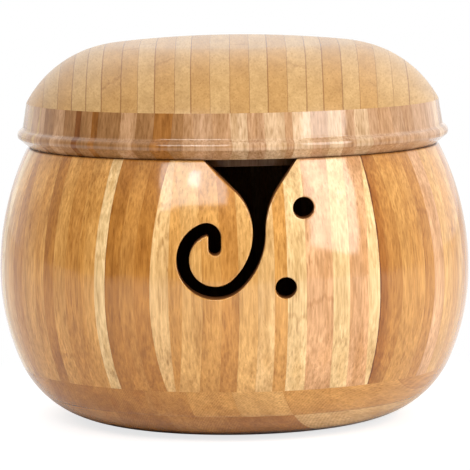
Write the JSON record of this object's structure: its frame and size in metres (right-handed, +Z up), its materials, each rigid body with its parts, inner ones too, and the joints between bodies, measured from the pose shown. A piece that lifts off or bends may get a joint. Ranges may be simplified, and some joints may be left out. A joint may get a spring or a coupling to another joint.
{
  "type": "yarn dispenser box",
  "caption": "Round turned bamboo yarn box with a lift-off domed lid, a curled yarn slot in its front wall and holes for needles.",
  "frame": {"origin": "centre of the flat foot, on the surface the box stands on", "axes": "+Z up along the turning axis, -Y to the front where the yarn slot is, +X to the right as seen from the front"},
  "size_m": [0.152, 0.152, 0.1234],
  "materials": {
    "wall_bamboo": "gloss",
    "ply_bamboo": "gloss",
    "rim_bamboo": "gloss",
    "dome_bamboo": "gloss"
  },
  "bodies": {
    "bowl": {"lower_ply_left": "ply_bamboo", "lower_ply_middle": "ply_bamboo", "lower_ply_right": "ply_bamboo", "upper_ply_left": "ply_bamboo", "upper_ply_middle": "ply_bamboo", "upper_ply_right": "ply_bamboo", "wall_front": "wall_bamboo", "wall_2": "wall_bamboo", "wall_3": "wall_bamboo", "wall_4": "wall_bamboo", "wall_5": "wall_bamboo", "wall_6": "wall_bamboo", "wall_7": "wall_bamboo"},
    "lid": {"rim_front": "rim_bamboo", "rim_2": "rim_bamboo", "rim_3": "rim_bamboo", "rim_4": "rim_bamboo", "rim_5": "rim_bamboo", "rim_6": "rim_bamboo", "rim_7": "rim_bamboo", "lid_top": "dome_bamboo"}
  },
  "joints": [
    {"name": "lid_lift", "type": "slide", "parent": "bowl", "child": "lid", "axis": [0, 0, 1], "range_m": [0, 0.06]}
  ]
}
